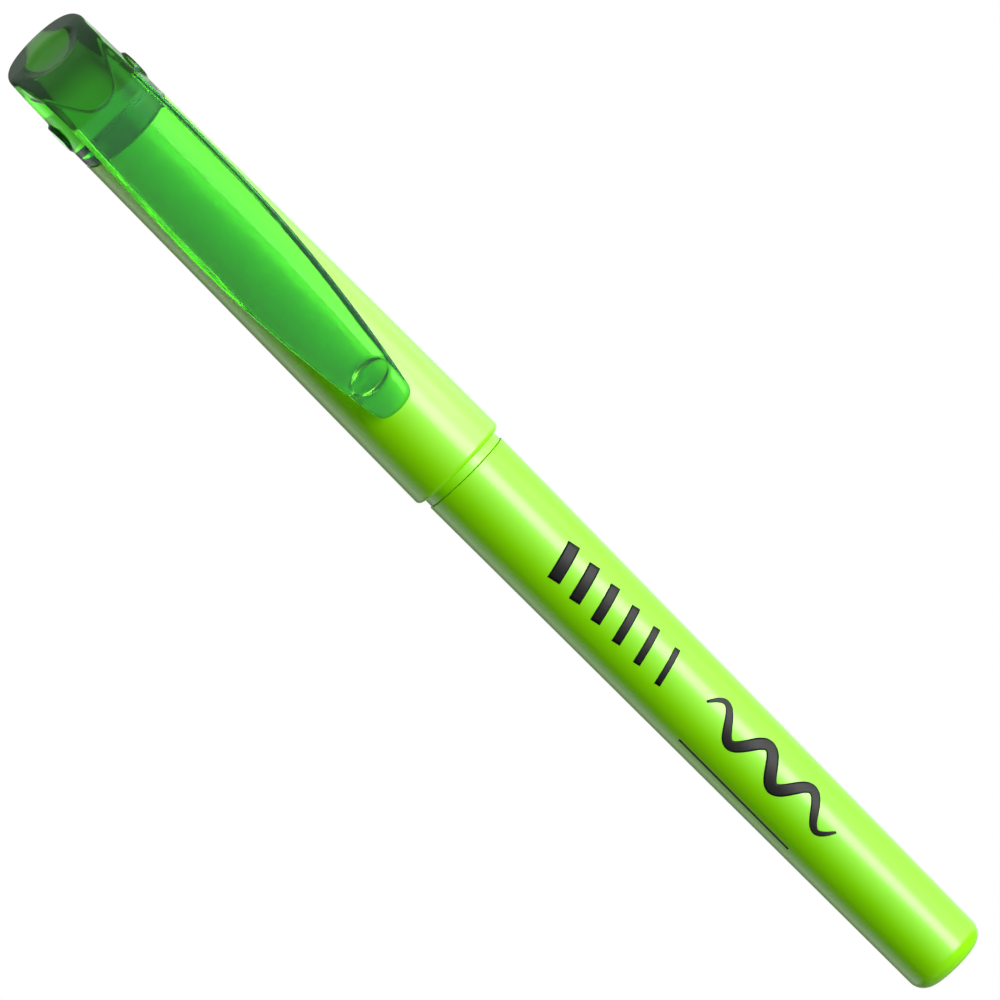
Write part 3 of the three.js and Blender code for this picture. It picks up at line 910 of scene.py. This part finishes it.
def make_world():
    """Studio light: dim at the front left, a big softbox at the front right, and softer light behind.

    The camera itself sees an even pale grey instead of these lights.
    """
    world = bpy.data.worlds.new("studio")
    bpy.context.scene.world = world
    world.use_nodes = True
    tree = world.node_tree
    tree.nodes.clear()

    def math_node(operation, *values):
        node = tree.nodes.new("ShaderNodeMath")
        node.operation = operation
        for socket, value in zip(node.inputs, values):
            if isinstance(value, (int, float)):
                socket.default_value = value
            else:
                tree.links.new(value, socket)
        return node.outputs["Value"]

    direction = tree.nodes.new("ShaderNodeTexCoord")
    turn = tree.nodes.new("ShaderNodeVectorRotate")
    turn.rotation_type = "Z_AXIS"
    turn.inputs["Angle"].default_value = -CAMERA_AZIMUTH
    parts = tree.nodes.new("ShaderNodeSeparateXYZ")
    tree.links.new(direction.outputs["Generated"], turn.inputs["Vector"])
    tree.links.new(turn.outputs["Vector"], parts.inputs["Vector"])
    round_pen = math_node("ARCTAN2", parts.outputs["X"], math_node("MULTIPLY", parts.outputs["Y"], -1))
    position = math_node("ADD", math_node("DIVIDE", round_pen, TAU), 0.5)

    def between(start, end):
        """0 to 1 as a direction's height, the sine of its elevation, goes from start to end."""
        edge = tree.nodes.new("ShaderNodeMapRange")
        edge.interpolation_type = "SMOOTHSTEP"
        edge.inputs["From Min"].default_value = start
        edge.inputs["From Max"].default_value = end
        tree.links.new(parts.outputs["Z"], edge.inputs["Value"])
        return edge.outputs["Result"]

    # Each between goes from none of a light at its first height to all of it at its second.
    band = math_node("MULTIPLY", between(-0.55, -0.2), between(0.09, 0))
    strip = math_node("MULTIPLY", between(-0.085, -0.073), between(0.04, 0))
    elsewhere = math_node("SUBTRACT", 1, band)
    light = math_node("MULTIPLY", brightness_ramp(tree, position, LIGHTS), band)
    for stops, place in ((HIGH_LIGHT, strip), (FILL, elsewhere)):
        more = math_node("MULTIPLY", brightness_ramp(tree, position, stops), place)
        light = math_node("ADD", light, more)
    for brightness, place in ((TOP_LIGHT, between(0.35, 0.7)), (FLOOR_LIGHT, between(-0.4, -0.7))):
        light = math_node("ADD", light, math_node("MULTIPLY", place, brightness / BRIGHTEST))
    background = tree.nodes.new("ShaderNodeBackground")
    tree.links.new(math_node("MULTIPLY", light, BRIGHTEST), background.inputs["Strength"])

    seen = tree.nodes.new("ShaderNodeBackground")
    seen.inputs["Strength"].default_value = 1
    path = tree.nodes.new("ShaderNodeLightPath")
    choose = tree.nodes.new("ShaderNodeMixShader")
    tree.links.new(path.outputs["Is Camera Ray"], choose.inputs["Fac"])
    tree.links.new(background.outputs["Background"], choose.inputs[1])
    tree.links.new(seen.outputs["Background"], choose.inputs[2])
    output = tree.nodes.new("ShaderNodeOutputWorld")
    tree.links.new(choose.outputs["Shader"], output.inputs["Surface"])


def make_camera():
    """A long lens, a little left of the clip and a little above, rolled so that the pen lies diagonally."""
    aim_x = 0.00053
    distance = 0.95
    rise, run = 0.7045, 0.7097  # how the pen's axis goes across the picture
    target = Vector((aim_x, 0, CROWN_TOP_Z * MM / 2))
    outward = Vector((
        math.sin(CAMERA_AZIMUTH) * math.cos(CAMERA_ELEVATION),
        -math.cos(CAMERA_AZIMUTH) * math.cos(CAMERA_ELEVATION),
        math.sin(CAMERA_ELEVATION),
    ))
    right = Vector((0, 0, 1)).cross(outward).normalized()
    up = outward.cross(right)
    roll = math.atan2(rise, run)
    rolled_right = right * math.cos(roll) - up * math.sin(roll)
    rolled_up = right * math.sin(roll) + up * math.cos(roll)
    data = bpy.data.cameras.new("camera")
    data.lens = 325
    data.sensor_width = 36
    data.clip_start = 0.01
    camera = bpy.data.objects.new("camera", data)
    bpy.context.scene.collection.objects.link(camera)
    turned = Matrix((rolled_right, rolled_up, outward)).transposed().to_4x4()
    camera.matrix_world = Matrix.Translation(target + outward * distance) @ turned
    bpy.context.scene.camera = camera


# ---------------------------------------------------------------- assembly

make_camera()
make_floor()
make_world()
bpy.context.scene.view_settings.view_transform = "Standard"

GLOSS_GREEN = gloss_green()
CLEAR_GREEN = clear_green()
LINER_GREEN = liner_green()
NIB_FELT = nib_felt()
PRINT_BLACK = print_black()


def finish_piece(obj, material, slot, body, *nodes):
    """Gives a piece its material and its body, and lets it stand for its CAD nodes."""
    obj.data.materials.append(material)
    if body:
        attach(obj, body)
    if nodes:
        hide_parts(*nodes)


finish_piece(make_barrel(), GLOSS_GREEN, "gloss_green", "barrel", "barrel")
finish_piece(make_front_section(), GLOSS_GREEN, "gloss_green", "barrel", "front_section")
finish_piece(make_nib(), NIB_FELT, "nib_felt", "barrel", "nib")
finish_piece(make_cap_sleeve(), GLOSS_GREEN, "gloss_green", "cap", "cap_sleeve")
finish_piece(make_inner_cap(), LINER_GREEN, "liner_green", "cap", "inner_cap")
for stroke in make_print():
    finish_piece(stroke, PRINT_BLACK, "print_black", "barrel")

crown_and_clip = make_crown_and_clip()
finish_piece(crown_and_clip, CLEAR_GREEN, "clear_green", None, "crown", "clip_arm")
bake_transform(crown_and_clip)

for node, material in (("reservoir_core", ink_fibre()), ("reservoir_film", wrap_film())):
    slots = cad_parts[node].material_slots
    slots[0].material = material
